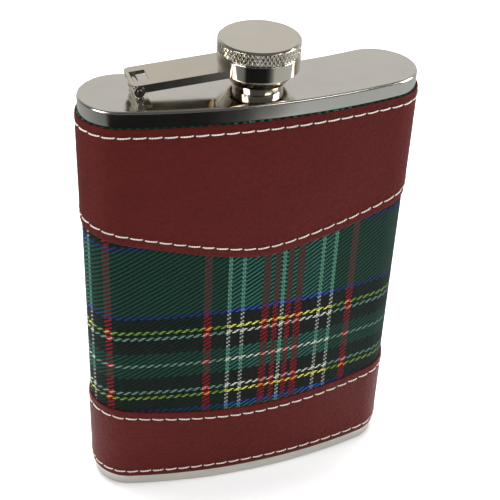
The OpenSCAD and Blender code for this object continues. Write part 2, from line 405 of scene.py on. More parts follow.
# painted shade: darker in the hollows between the grain cells and along the folds
dye_and_hollow_shade = hide.mix(hide.range(cells, 0.45, 0.9, 0.0, 0.35), dye_and_hollow_shade, srgb(52, 10, 9))
dye_and_hollow_shade = hide.mix(hide.range(folds, 0.3, 0.7, 0.0, 0.4), dye_and_hollow_shade, srgb(60, 12, 10))
leather_finish = hide.wire(
    Base_Color=dye_and_hollow_shade,
    Roughness=hide.range(hide.math("ADD", cells, pores), 0.5, 1.3, 0.42, 0.6),
    Normal=hide.bump(pebble, 0.00014, 0.8),
)
print("leather:", leather_finish.name)

# %% [markdown]
# Sewing thread is two or three plies twisted together. The stitches carry an attribute with the
# distance along the thread and the angle round it, and stripes across both of them are the twist.
# The grooves between the plies are painted darker, as painted shade.

# %% Thread
twisted = Finish("ivory_thread", Roughness=0.75, Sheen_Weight=0.2)
run = twisted.add("ShaderNodeAttribute", attribute_name="thread_run").outputs["Vector"]
parts = twisted.add("ShaderNodeSeparateXYZ", {0: run}).outputs
phase = twisted.math("ADD", twisted.math("MULTIPLY", parts[0], 9000.0), parts[1])
ply = twisted.math("MULTIPLY_ADD", twisted.math("SINE", phase), 0.5, 0.5)
# painted shade: the low grooves of the twist take the darker colour
thread_finish = twisted.wire(
    Base_Color=twisted.mix(ply, srgb(170, 158, 148), srgb(232, 224, 214)),
    Normal=twisted.bump(ply, 0.00005, 0.8),
)

# %% [markdown]
# ## Tartan
# The cloth is a 2/2 twill: each thread floats over two and dives under two, and each row shifts by
# one, which draws the slanting ribs. The warp threads run up and the weft threads run round, and
# each has its own sequence of colours, its sett. So the material works as the loom does. It finds
# which warp and weft thread cross at a point, looks up both colours in the setts, and shows
# the one that lies on top.

# %% The setts: (distance from the middle in threads where a colour starts, colour)
WARP_THREADS = 380
WARP_PITCH = ROUND_L / MM / WARP_THREADS
WEFT_PITCH = 0.362
WARP_MIDDLE, WEFT_MIDDLE = 11.5, 133
WARP_HALF, WEFT_HALF = 64, 82
green, dark_green, black = (38, 100, 86), (10, 32, 27), (15, 17, 17)
white, bright_white = (142, 146, 136), (200, 204, 190)
red, yellow, blue = (124, 18, 22), (222, 216, 92), (32, 78, 160)
# painted shade: the share of brightness a thread keeps where it crosses these colours, darkest over
# the dark green
CROSSING_LIT_SHARE = {dark_green: 0.4, green: 0.7}
warp_sett = [
    (0, white), (1, black), (2, red), (5, black), (7, red), (11, black), (20, white), (22, black),
    (27, white), (29, dark_green), (37, red), (41, dark_green),
]
weft_sett = [
    (0, bright_white), (1.5, green), (12.5, black), (26.5, bright_white), (29.5, black),
    (32.5, yellow), (35.5, black), (47.5, blue), (51.5, green),
]


def sett_ramp(finish, coordinate, pitch, middle, half, sett):
    """The thread's number and its colour, with the sett mirrored about its middle and its ends."""
    number = finish.math("FLOOR", finish.math("DIVIDE", coordinate, pitch))
    from_middle = finish.math("SUBTRACT", number, middle)
    share = finish.math("DIVIDE", finish.math("PINGPONG", from_middle, half), half)
    ramp = finish.add("ShaderNodeValToRGB", {0: share})
    ramp.color_ramp.interpolation = "CONSTANT"
    stops = ramp.color_ramp.elements
    for thread, colour in sett[1:]:
        stops.new(thread / half).color = srgb(*colour)[:3] + (CROSSING_LIT_SHARE.get(colour, 1.0),)
    stops[0].position, stops[0].color = 0, srgb(*sett[0][1])
    stops.remove(stops[len(stops) - 1])
    return number, ramp.outputs["Color"], ramp.outputs["Alpha"]


# %% The loom
TWILL = 4.0  # threads in one repeat: over two, under two
woven = Finish(
    "tartan", Roughness=0.85, Specular_IOR_Level=0.1, Sheen_Weight=0.04, Sheen_Roughness=0.5
)
lay = woven.add("ShaderNodeUVMap", uv_map="cloth_mm").outputs[0]
across, up, _ = woven.add("ShaderNodeSeparateXYZ", {0: lay}).outputs
warp_number, warp_colour, warp_lit_share = sett_ramp(
    woven, across, WARP_PITCH, WARP_MIDDLE, WARP_HALF, warp_sett
)
weft_number, weft_colour, weft_lit_share = sett_ramp(
    woven, up, WEFT_PITCH, WEFT_MIDDLE, WEFT_HALF, weft_sett
)


def scaled(colour, share):
    """A colour made darker or lighter by a share."""
    inputs = {0: colour, "Scale": share}
    return woven.add("ShaderNodeVectorMath", inputs, operation="SCALE").outputs[0]


# painted shade: each thread is darkened where it crosses a dark green warp or a green weft
warp_colour, weft_colour = scaled(warp_colour, weft_lit_share), scaled(weft_colour, warp_lit_share)
in_warp = woven.math("FRACT", woven.math("DIVIDE", across, WARP_PITCH))
in_weft = woven.math("FRACT", woven.math("DIVIDE", up, WEFT_PITCH))
step = woven.math("FLOORED_MODULO", woven.math("SUBTRACT", warp_number, weft_number), TWILL)
warp_on_top = woven.math("LESS_THAN", step, 1.5)
warp_run = woven.math("SUBTRACT", woven.math("ADD", step, 1.0), in_weft)
warp_run = woven.math("DIVIDE", warp_run, 2.0)
weft_run = woven.math("ADD", woven.math("SUBTRACT", step, 2.0), in_warp)
weft_run = woven.math("DIVIDE", weft_run, 2.0)


def float_height(run, side):
    """Height of a float: a thread that is round across, and dives at both ends of its run."""
    arch = woven.math("SINE", woven.math("MULTIPLY", run, math.pi))
    round_across = woven.math("SINE", woven.math("MULTIPLY", side, math.pi))
    arch, round_across = (woven.math("POWER", wave, 0.5) for wave in (arch, round_across))
    return woven.math("MULTIPLY", arch, round_across)


def choose(weft_value, warp_value):
    gap = woven.math("SUBTRACT", warp_value, weft_value)
    return woven.math("MULTIPLY_ADD", gap, warp_on_top, weft_value)


height = choose(float_height(weft_run, in_weft), float_height(warp_run, in_warp))
fuzz = woven.noise(2400, 3, 0.7)
depth_shade = woven.range(height, 0.0, 1.0, 0.22, 1.12)
shade = woven.math("MULTIPLY", depth_shade, woven.range(fuzz, 0.3, 0.7, 0.8, 1.15))
upper = woven.mix(warp_on_top, weft_colour, warp_colour)
under = woven.mix(warp_on_top, warp_colour, weft_colour)
channels = woven.add("ShaderNodeSeparateColor", {0: under}).outputs
strongest = woven.math("MAXIMUM", woven.math("MAXIMUM", channels[0], channels[1]), channels[2])
hue = scaled(under, woven.math("DIVIDE", 1.0, strongest))
tint = woven.mix(0.6, (1, 1, 1, 1), hue)
thread_colour = woven.add(
    "ShaderNodeVectorMath", {0: upper, 1: tint}, operation="MULTIPLY"
).outputs[0]
tartan_finish = woven.wire(
    Base_Color=scaled(thread_colour, shade), Normal=woven.bump(height, 0.00012, 0.8)
)
print("tartan:", len(warp_sett), "warp stripes and", len(weft_sett), "weft stripes")

# %% [markdown]
# The cloth itself has the ribs in its mesh too. There is one column of points for each warp
# thread and one row for each weft thread where it shows, so that the relief is real.
# Under the leather and inside the wrap it is smooth, with few rows.

# %% Cloth mesh
columns = WARP_THREADS
RIB = 0.035 * MM
s_cloth = (np.arange(columns) / columns - 0.5) * ROUND_L
SHOWN_LOW, SHOWN_HIGH = 26 * MM, 96 * MM
CLOTH_LOW, CLOTH_TOP = 4.15 * MM, 126.7 * MM
fine_rows = np.arange(SHOWN_LOW, SHOWN_HIGH, WEFT_PITCH * MM)
outer_z = np.concatenate([
    np.linspace(CLOTH_LOW, SHOWN_LOW - 2 * MM, 5), fine_rows,
    np.linspace(SHOWN_HIGH + 2 * MM, CLOTH_TOP - 0.3 * MM, 6), [CLOTH_TOP],
])
rib_wave = np.arange(columns) * 2 * math.pi / TWILL
out_rows, z_rows = [], []
for z in outer_z:
    shown = SHOWN_LOW <= z <= SHOWN_HIGH
    rib = np.cos(rib_wave - z / MM / WEFT_PITCH * 2 * math.pi / TWILL) * (RIB if shown else 0)
    lift = (-0.05 if shown else -0.12) * MM
    if z in (CLOTH_LOW, CLOTH_TOP):
        lift = -0.3 * MM
    out_rows.append(CLOTH_OUT + lift + rib)
    z_rows.append(np.full(columns, z))
for z in np.linspace(CLOTH_TOP, CLOTH_LOW, 6):
    out_rows.append(np.full(columns, CLOTH_IN + 0.03 * MM))
    z_rows.append(np.full(columns, z))
cloth = wrap("tartan_cloth", s_cloth, out_rows, z_rows)
uv = cloth.data.uv_layers.new(name="cloth_mm")
loop_vertex = np.zeros(len(cloth.data.loops), int)
cloth.data.loops.foreach_get("vertex_index", loop_vertex)
loop_s = s_cloth[loop_vertex % columns] / MM
loop_z = np.concatenate(z_rows)[loop_vertex] / MM
spread = loop_s.reshape(-1, 4).max(1) - loop_s.reshape(-1, 4).min(1)
over_seam = np.repeat(spread > ROUND_L / MM / 2, 4) & (loop_s < 0)
loop_s = loop_s + over_seam * ROUND_L / MM
uv.data.foreach_set("uv", np.column_stack([loop_s, loop_z]).ravel().astype(np.float32))
paint(cloth, tartan_finish)
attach(cloth, "flask")
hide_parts("tartan_wrap")
print("cloth:", len(cloth.data.polygons), "faces")

# %% [markdown]
# ## Leather bands
# Each band is cut from half-millimetre leather and sewn through the cloth. The thread pulls the
# leather down, so there is a shallow valley along each row of stitches, deepest at the needle
# holes. The cut edge is slightly rounded by the burnishing tool. The free edges are a
# broad V, straight at the sides and round at the middle, and rows of points follow them.

# %% Band edges and stitch rows
def v_edge(x, low, slope, blend):
    """Height of a band's free edge at x: a broad V with a round bottom. All in mm."""
    return low + np.sqrt((slope * x) ** 2 + blend**2) - blend


def scallop(x):
    return v_edge(x, 84.1, 0.225, 1.6)


def smile(x):
    return v_edge(x, 28.4, 0.11, 2.0)


TOP_BAND_TOP, BOTTOM_BAND_LOW = 126.4, 4.1
STITCH_PITCH = 4.0
INSET = 2.6
# distances in from an edge at which the leather has a ring of points, closest at the stitches
NEAR_EDGE = np.array([
    0, 0.06, 0.18, 0.4, 0.9, 1.4, 1.8, 2.1, 2.35, 2.6, 2.85, 3.1, 3.4, 3.8, 4.5, 5.5,
])


def band(name, low_edge, high_edge, low_row, high_row):
    """A leather band. Its edges are functions of x; its rows lie this far in from them, in mm."""
    count = int(ROUND_L / MM / 0.5)
    s = (np.arange(count) / count - 0.5) * ROUND_L
    base, facing = outline(s)
    x = (base[:, 0] + facing[:, 0] * LEATHER_OUT) / MM
    low, high = low_edge(x), high_edge(x)
    near_low, near_high = NEAR_EDGE * low_row / INSET, NEAR_EDGE * high_row / INSET
    share = np.linspace(0, 1, 16)[1:-1]
    pull = 0.6 + 0.4 * np.cos(s / MM / STITCH_PITCH * 2 * math.pi)
    slow = 0.03 * np.sin(s / MM * 0.21 + 1.0) + 0.02 * np.sin(s / MM * 0.47 + 2.0)
    out_rows, z_rows = [], []

    def add(z):
        from_low, from_high = z - low, high - z
        off_rows = (from_low - low_row, from_high - high_row)
        valley = sum(np.exp(-((off / 0.4) ** 2)) for off in off_rows)
        edge = np.minimum(from_low, from_high)
        burnish = 0.16 * np.exp(-edge / 0.12) + 0.07 * np.exp(-edge / 0.7)
        inward = np.sin(np.clip(edge / 12, 0, 1) * math.pi / 2)
        wavy = slow * inward * np.cos(z * 0.13 + s / MM * 0.05)
        out_rows.append(LEATHER_OUT - (0.04 + 0.09 * valley * pull + burnish - wavy) * MM)
        z_rows.append(z * MM)

    for d in near_low:
        add(low + d)
    for t in share:
        add(low + near_low[-1] + (high - near_high[-1] - low - near_low[-1]) * t)
    for d in near_high[::-1]:
        add(high - d)
    for t in (0, 0.5, 1):
        out_rows.append(np.full(count, CLOTH_OUT))
        z_rows.append((high + (low - high) * t) * MM)
    piece = wrap(name, s, out_rows, z_rows)
    paint(piece, leather_finish)
    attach(piece, "flask")
    return piece


def flat_top(x):
    return np.full_like(x, TOP_BAND_TOP)


def flat_low(x):
    return np.full_like(x, BOTTOM_BAND_LOW)


top_band = band("top_leather", scallop, flat_top, 2.9, 2.3)
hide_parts("leather_top_band")
bottom_band = band("bottom_leather", flat_low, smile, 2.2, 2.6)
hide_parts("leather_bottom_band")

# %% [markdown]
# ## Stitches with Geometry Nodes
# A row of stitches is one small shape repeated along a line at an even pitch, which is just what
# Geometry Nodes are for. The tree takes the line, spaces points along it, and puts a stitch on
# each. The stitch is an arc of thread that dives into a needle hole at each end. The line carries
# the direction out of the leather as an attribute, and each stitch is turned to face that way.

# %% A small helper for node trees
class Tree(NodeTree):
    """A Geometry Nodes tree with named inputs, built node by node."""

    def __init__(self, name, inputs):
        self.tree = bpy.data.node_groups.new(name, "GeometryNodeTree")
        face = self.tree.interface
        face.new_socket("Geometry", in_out="INPUT", socket_type="NodeSocketGeometry")
        self.keys = {}
        for label, (kind, value) in inputs.items():
            socket = face.new_socket(label, in_out="INPUT", socket_type="NodeSocket" + kind)
            if value is not None:
                socket.default_value = value
            self.keys[label] = socket.identifier
        face.new_socket("Geometry", in_out="OUTPUT", socket_type="NodeSocketGeometry")
        self.inputs = self.tree.nodes.new("NodeGroupInput").outputs
        self.output = self.tree.nodes.new("NodeGroupOutput").inputs[0]

    def combine(self, *xyz):
        """A vector from three numbers or outputs."""
        return self.add("ShaderNodeCombineXYZ", dict(enumerate(xyz))).outputs[0]

    def store(self, geometry, label, value, kind="FLOAT"):
        """The geometry with a value kept on its points under this name."""
        inputs = {"Geometry": geometry, "Name": label, "Value": value}
        return self.add(
            "GeometryNodeStoreNamedAttribute", inputs, data_type=kind, domain="POINT"
        ).outputs[0]

    def read(self, label, kind="FLOAT"):
        inputs = {"Name": label}
        return self.add("GeometryNodeInputNamedAttribute", inputs, data_type=kind).outputs[0]

    def finish(self, geometry, material):
        solid = self.add("GeometryNodeRealizeInstances", {0: geometry}).outputs[0]
        painted = self.add("GeometryNodeSetMaterial", {"Geometry": solid, "Material": material})
        self.tree.links.new(painted.outputs[0], self.output)

    def run(self, piece, **values):
        """Runs the tree on a piece and keeps the result as the piece's plain mesh."""
        modifier = piece.modifiers.new("nodes", "NODES")
        modifier.node_group = self.tree
        for label, value in values.items():
            modifier[self.keys[label.replace("_", " ")]] = value
        settle(piece)
        return piece


# %% Points along a row, each turned to face out of the leather
def spaced_points(t, per_stitch):
    """Points along the tree's line, and the rotation that lays a shape flat there."""
    line = t.add("GeometryNodeMeshToCurve", {0: t.inputs["Geometry"]}).outputs[0]
    length = t.add("GeometryNodeCurveLength", {0: line}).outputs[0]
    count = t.math("ROUND", t.math("DIVIDE", length, t.inputs["Pitch"]))
    count = t.math("MULTIPLY", count, per_stitch)
    points = t.add(
        "GeometryNodeResampleCurve", {"Curve": line, "Count": count}, mode="COUNT"
    ).outputs[0]
    outward = t.read("outward", "FLOAT_VECTOR")
    facing = t.add("FunctionNodeAlignRotationToVector", {"Vector": outward}, axis="Z").outputs[0]
    along = t.add("GeometryNodeInputTangent").outputs[0]
    turned_to = t.add(
        "FunctionNodeAlignRotationToVector", {"Rotation": facing, "Vector": along},
        axis="X", pivot_axis="Z",
    )
    return points, turned_to.outputs[0]


# %% The stitch tree
stitch_tree = Tree("row_of_stitches", {
    "Pitch": ("Float", 0.004),
    "Stitch length": ("Float", 0.0034),
    "Thread radius": ("Float", 0.0002),
    "Rise": ("Float", 0.00026),
    "Slant": ("Float", 0.06),
    "Material": ("Material", None),
})
t = stitch_tree
spaced, turned_to = spaced_points(t, 1.0)
tilt = t.add("FunctionNodeEulerToRotation", {0: t.combine(0.0, 0.0, t.inputs["Slant"])}).outputs[0]
slanted = t.add("FunctionNodeRotateRotation", {0: turned_to, 1: tilt}, rotation_space="LOCAL")

# %% The stitch itself: an arc of thread with a round section
half = t.math("MULTIPLY", t.inputs["Stitch length"], 0.5)
start = t.combine(t.math("MULTIPLY", half, -1.0))
arc = t.add("GeometryNodeCurvePrimitiveLine", {"Start": start, "End": t.combine(half)}).outputs[0]
arc = t.add("GeometryNodeResampleCurve", {"Curve": arc, "Count": 9}, mode="COUNT").outputs[0]
spot = t.add("GeometryNodeInputPosition").outputs[0]
share = t.math("DIVIDE", t.add("ShaderNodeSeparateXYZ", {0: spot}).outputs[0], half)
dip = t.math("MULTIPLY", t.math("POWER", t.math("ABSOLUTE", share), 4.0), -1.6)
lift = t.math("MULTIPLY", t.math("ADD", dip, 0.55), t.inputs["Rise"])
raised = t.combine(0.0, 0.0, lift)
arc = t.add("GeometryNodeSetPosition", {"Geometry": arc, "Offset": raised}).outputs[0]
arc = t.store(arc, "run_along", t.add("GeometryNodeSplineParameter").outputs["Length"])
circle = t.add(
    "GeometryNodeCurvePrimitiveCircle", {"Resolution": 8, "Radius": t.inputs["Thread radius"]}
).outputs[0]
circle = t.store(circle, "run_around", t.add("GeometryNodeSplineParameter").outputs["Factor"])
tube = t.add(
    "GeometryNodeCurveToMesh", {"Curve": arc, "Profile Curve": circle, "Fill Caps": True}
).outputs[0]
angle = t.math("MULTIPLY", t.read("run_around"), 2 * math.pi)
tube = t.store(tube, "thread_run", t.combine(t.read("run_along"), angle), "FLOAT_VECTOR")
tube = t.add("GeometryNodeSetShadeSmooth", {0: tube}).outputs[0]
placed = t.add("GeometryNodeInstanceOnPoints", {
    "Points": spaced, "Instance": tube, "Rotation": slanted.outputs[0],
}).outputs[0]
t.finish(placed, t.inputs["Material"])
print("stitch tree:", len(t.tree.nodes), "nodes")

# %% The needle-hole tree: the same points, moved half a pitch
hole_tree = Tree("row_of_needle_holes", {
    "Pitch": ("Float", 0.004),
    "Hole length": ("Float", 0.0007),
    "Hole width": ("Float", 0.0005),
    "Hole depth": ("Float", 0.00016),
    "Material": ("Material", None),
})
t = hole_tree
spaced, turned_to = spaced_points(t, 2.0)
between = t.math("FLOORED_MODULO", t.add("GeometryNodeInputIndex").outputs[0], 2.0)
# each hole is a flat dark shape at the surface, which paints the shade inside the hole
button = t.add("GeometryNodeMeshUVSphere", {"Segments": 10, "Rings": 5, "Radius": 0.5}).outputs[0]
size = t.combine(t.inputs["Hole length"], t.inputs["Hole width"], t.inputs["Hole depth"])
placed = t.add("GeometryNodeInstanceOnPoints", {
    "Points": spaced, "Selection": between, "Instance": button,
    "Rotation": turned_to, "Scale": size,
}).outputs[0]
t.finish(placed, t.inputs["Material"])
print("hole tree:", len(t.tree.nodes), "nodes")


# %% Rows of stitches on the leather
LINE_POINTS = 900


def stitch_line(name, height, out):
    """A closed line of points round the body at a height given as a function of x, in mm."""
    s = (np.arange(LINE_POINTS) / LINE_POINTS - 0.5) * ROUND_L
    base, facing = outline(s)
    x = (base[:, 0] + facing[:, 0] * LEATHER_OUT) / MM
    points = np.column_stack([base + facing * out, height(x) * MM])
    mesh = bpy.data.meshes.new(name)
    edges = [(i, (i + 1) % LINE_POINTS) for i in range(LINE_POINTS)]
    mesh.from_pydata(points.tolist(), edges, [])
    outward = mesh.attributes.new("outward", "FLOAT_VECTOR", "POINT")
    outward.data.foreach_set("vector", np.column_stack([facing, np.zeros(LINE_POINTS)]).ravel())
    return put(name, mesh)


stitch_rows = {
    "top_band_upper_stitching": (lambda x: np.full_like(x, 124.1), 0.05),
    "top_band_lower_stitching": (lambda x: scallop(x) + 2.9, 0.07),
    "bottom_band_upper_stitching": (lambda x: smile(x) - 2.6, -0.06),
    "bottom_band_lower_stitching": (lambda x: np.full_like(x, 6.3), 0.06),
}
for node, (height, slant) in stitch_rows.items():
    row = stitch_line(node + "_thread", height, LEATHER_OUT - 0.02 * MM)
    stitch_tree.run(row, Pitch=STITCH_PITCH * MM, Slant=slant, Material=thread_finish)
    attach(row, "flask")
    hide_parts(node)
    holes = stitch_line(node + "_holes", height, LEATHER_OUT - 0.12 * MM)
    hole_tree.run(holes, Pitch=STITCH_PITCH * MM, Material=hole_shade_finish)
    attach(holes, "flask")
    print(node, len(row.data.polygons), "faces of thread")

# %% [markdown]
# ## The end plates
# Each plate is pressed from sheet: a flat face, a small round edge and a skirt that slips over the
# bottle. A mirror shows every fault in a mesh, so the round edge has enough steps, and a ring of
# points just inside it keeps the flat face truly flat. The top plate has a hole for the neck.

# %% Plates
PLATE_T, SKIRT_T, EDGE_R = 0.8 * MM, 0.4 * MM, 0.7 * MM
RIM_POINTS, HOLE_POINTS = 560, 96


def plate(name, face_z, skirt_z, hole_r, steel):
    """A plate with its flat face at face_z and its skirt's free edge at skirt_z."""
    toward = 1 if face_z > skirt_z else -1
    count = RIM_POINTS
    s = (np.arange(count) / count - 0.5) * ROUND_L
    base, facing = outline(s)
    inner = HALF_T - SKIRT_T
    under_z = face_z - toward * PLATE_T
    profile = [
        (inner - 0.3 * MM, under_z), (inner, under_z), (inner, skirt_z),
        (HALF_T - 0.1 * MM, skirt_z), (HALF_T, skirt_z + toward * 0.1 * MM),
    ]
    for a in np.linspace(0, math.pi / 2, 9):
        lift = toward * EDGE_R * (math.sin(a) - 1)
        profile.append((HALF_T - EDGE_R + EDGE_R * math.cos(a), face_z + lift))
    profile.append((HALF_T - EDGE_R - 0.25 * MM, face_z))
    rings = [np.column_stack([base + facing * o, np.full(count, z)]) for o, z in profile]
    work = bmesh.new()
    vertices = [work.verts.new(p) for p in np.concatenate(rings)]
    for face in ring_faces(len(profile), count, closed=False):
        work.faces.new([vertices[i] for i in face])
    hole_edges = []
    for rim, z in ((vertices[:count], under_z), (vertices[-count:], face_z)):
        edges = [work.edges.get((rim[i], rim[(i + 1) % count])) for i in range(count)]
        if hole_r:
            turns = [2 * math.pi * i / HOLE_POINTS for i in range(HOLE_POINTS)]
            ring = [
                work.verts.new((hole_r * math.cos(a), NECK.y + hole_r * math.sin(a), z))
                for a in turns
            ]
            edges += [work.edges.new((ring[i - 1], ring[i])) for i in range(HOLE_POINTS)]
            hole_edges.append(ring)
        bmesh.ops.triangle_fill(work, edges=edges, use_beauty=True)
    if hole_r:
        low, high = hole_edges
        for i in range(HOLE_POINTS):
            work.faces.new((low[i - 1], low[i], high[i], high[i - 1]))
    bmesh.ops.recalc_face_normals(work, faces=work.faces)
    mesh = bpy.data.meshes.new(name)
    work.to_mesh(mesh)
    work.free()
    piece = put(name, mesh)
    crisp(piece)
    paint(piece, steel)
    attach(piece, "flask")
    print(name, len(piece.data.polygons), "faces")
    return piece


top_cover = plate("top_cover", BODY_H, 126.8 * MM, 6.0 * MM, plate_steel)
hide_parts("top_plate")
base_cover = plate("base_cover", 0.0, 4.0 * MM, 0, shaded_base_steel)
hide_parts("base_plate")

# %% [markdown]
# ## Neck and cap
# These are turned on a lathe, so each is a profile spun round the neck's axis. Its heights are over
# the top plate. Every corner is eased a little, because an edge on real metal always catches a
# line of light.

# %% Neck
neck_piece = turned("neck_spout", [
    (5.3, -1.4), (6.0, -1.4), (6.0, 0.0), (6.6, 0.0), (6.6, 2.4), (6.2, 2.8), (6.2, 8.6),
    (5.8, 9.0), (5.3, 9.0),
])
paint(neck_piece, cap_steel)
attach(neck_piece, "flask")
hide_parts("neck")

# %% [markdown]
# The thread is a ridge wound round the neck. In Geometry Nodes a spiral is the path and a small
# blunt tool is the profile, which is how a thread is cut: one shape, moved along a helix.

# %% The thread tree
thread_tree = Tree("screw_ridge", {
    "Turns": ("Float", 2.6),
    "Radius": ("Float", 0.00615),
    "Height": ("Float", 0.0044),
    "Depth": ("Float", 0.0004),
    "Low": ("Float", 0.0034),
    "Material": ("Material", None),
})
t = thread_tree
helix = t.add("GeometryNodeCurveSpiral", {
    "Resolution": 64, "Rotations": t.inputs["Turns"], "Start Radius": t.inputs["Radius"],
    "End Radius": t.inputs["Radius"], "Height": t.inputs["Height"],
}).outputs[0]
tool = t.add(
    "GeometryNodeCurvePrimitiveCircle", {"Resolution": 6, "Radius": t.inputs["Depth"]}
).outputs[0]
so_far = t.add("GeometryNodeSplineParameter").outputs["Factor"]
from_end = t.math("MINIMUM", so_far, t.math("SUBTRACT", 1.0, so_far))
fade = t.math("MINIMUM", t.math("MULTIPLY", from_end, 14.0), 1.0)
thin = t.math("MAXIMUM", fade, 0.15)
ridge = t.add("GeometryNodeCurveToMesh", {
    "Curve": helix, "Profile Curve": tool, "Scale": thin, "Fill Caps": True,
}).outputs[0]
ridge = t.add("GeometryNodeSetShadeSmooth", {0: ridge}).outputs[0]
above = t.combine(NECK.x, NECK.y, t.math("ADD", t.inputs["Low"], NECK.z))
moved = t.add("GeometryNodeTransform", {"Geometry": ridge, "Translation": above})
t.finish(moved.outputs[0], t.inputs["Material"])


def screw_ridge(name, body, **values):
    piece = put(name, bpy.data.meshes.new(name))
    thread_tree.run(piece, Material=cap_steel, **values)
    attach(piece, body)
    print(name, len(piece.data.polygons), "faces")


screw_ridge("neck_screw_thread", "flask")
screw_ridge(
    "cap_screw_thread", "cap",
    Radius=7.2 * MM, Depth=0.3 * MM, Low=4.9 * MM, Turns=2.4, Height=4.1 * MM,
)

# %% [markdown]
# The cap comes apart into a head, a threaded hub, a bevelled ring and a soft seal. The hub turns
# inside the arm's collar, and the ring below it keeps the two together. The head is turned
# with a shallow band round its rim, because the knurl is a piece of its own that fills that band.

# %% Cap: head, hub, ring and seal, and the arm's collar
HEAD_BOTTOM, CAP_TOP, CAP_R = 10.1, 13.8, 10.9
KNURL_DEPTH = 0.16
knurl_low, knurl_high = HEAD_BOTTOM + 0.18, CAP_TOP - 0.6
band_r = CAP_R - KNURL_DEPTH
head = turned("cap_head_blank", [
    (0, 12.4), (8.6, 12.4), (8.6, HEAD_BOTTOM), (CAP_R - 0.1, HEAD_BOTTOM),
    (CAP_R, HEAD_BOTTOM + 0.12), (CAP_R, knurl_low), (band_r, knurl_low + 0.12),
    (band_r, knurl_high - 0.12), (CAP_R, knurl_high), (CAP_R, CAP_TOP - 0.5),
    (CAP_R - 0.5, CAP_TOP), (0, CAP_TOP + 0.06),
], 0.08)
paint(head, cap_steel)
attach(head, "cap")
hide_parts("cap_head")

hub = turned("cap_threaded_hub", [
    (0, 10.3), (7.2, 10.3), (7.2, 4.0), (8.6, 4.0), (8.6, 12.4), (0, 12.4),
])
ring = turned("cap_bevelled_ring", [
    (7.6, 2.3), (7.9, 2.3), (10.1, 5.0), (10.1, 5.35), (8.6, 5.35), (8.6, 4.0), (7.6, 4.0),
], 0.1)
seal = turned("cap_soft_seal", [(0, 9.25), (7.1, 9.25), (7.1, 10.25), (0, 10.25)], 0.15)
collar = turned("arm_smooth_collar", [
    (8.65, 5.5), (10.75, 5.5), (10.9, 5.65), (10.9, 9.8), (10.75, 9.95), (8.65, 9.95),
], 0.1)
for piece, node, body, steel, slot in (
    (hub, "cap_hub", "cap", cap_steel, "polished_steel"),
    (ring, "cap_retaining_ring", "cap", cap_steel, "polished_steel"),
    (seal, "cap_seal", "cap", seal_finish, "seal"),
    (collar, "arm_collar", "arm", cap_steel, "polished_steel"),
):
    paint(piece, steel)
    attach(piece, body)
    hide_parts(node)
print("cap pieces made")

# %% [markdown]
# The cap's grip is a diamond knurl: a wheel presses two crossed sets of slanting grooves into the
# rim, and small pyramids stay between them. The tree rolls a flat grid into a ring. One way along
# the grid is the angle, the other goes up the outside and down the inside. The outside is pressed
# in by the deeper of the two grooves at each point. The grid is fine enough for the bottom of
# every groove to fall on its lines.

# %% The knurl tree
TEETH, STEPS = 62, 12
KNURL_IN = CAP_R - KNURL_DEPTH - 0.35
diamond_w = 2 * math.pi * CAP_R / TEETH
diamond_h = 1.75 * diamond_w
knurl_h = knurl_high - knurl_low + 0.1
knurl_rows = int(knurl_h / (diamond_h / STEPS))
knurl_tree = Tree("diamond_knurl", {
    "Teeth": ("Int", TEETH),
    "Rows": ("Int", knurl_rows),
    "Radius": ("Float", CAP_R * MM),
    "Inner radius": ("Float", KNURL_IN * MM),
    "Low": ("Float", 0.0),
    "Height": ("Float", 0.0027),
    "Diamond height": ("Float", diamond_h * MM),
    "Depth": ("Float", KNURL_DEPTH * MM),
    "Centre": ("Vector", tuple(NECK)),
    "Material": ("Material", None),
})
t = knurl_tree
along_count = t.math("ADD", t.math("MULTIPLY", t.inputs["Teeth"], float(STEPS)), 1.0)
up_count = t.math("ADD", t.inputs["Rows"], 3.0)
grid = t.add("GeometryNodeMeshGrid", {
    "Size X": 1.0, "Size Y": 1.0, "Vertices X": along_count, "Vertices Y": up_count,
}).outputs[0]
spot = t.add("GeometryNodeInputPosition").outputs[0]
flat_x, flat_y, _ = t.add("ShaderNodeSeparateXYZ", {0: spot}).outputs
turn = t.math("MULTIPLY", t.math("ADD", flat_x, 0.5), 2 * math.pi)
row = t.math("MULTIPLY", t.math("ADD", flat_y, 0.5), t.math("SUBTRACT", up_count, 1.0))
outside = t.math("LESS_THAN", row, t.math("ADD", t.inputs["Rows"], 0.5))
share = t.math("DIVIDE", t.math("MINIMUM", row, t.inputs["Rows"]), t.inputs["Rows"])
inside_low = t.math("GREATER_THAN", row, t.math("ADD", t.inputs["Rows"], 1.5))
level = t.math("MULTIPLY", share, t.math("SUBTRACT", 1.0, inside_low))
height_up = t.math("MULTIPLY", level, t.inputs["Height"])
tooth = t.math("MULTIPLY", t.math("ADD", flat_x, 0.5), t.inputs["Teeth"])
lean = t.math("DIVIDE", height_up, t.inputs["Diamond height"])


def groove(place):
    """0 at the bottom of a groove, rising to 1 in the middle between two grooves."""
    return t.math("MULTIPLY", t.math("PINGPONG", place, 0.5), 2.0)


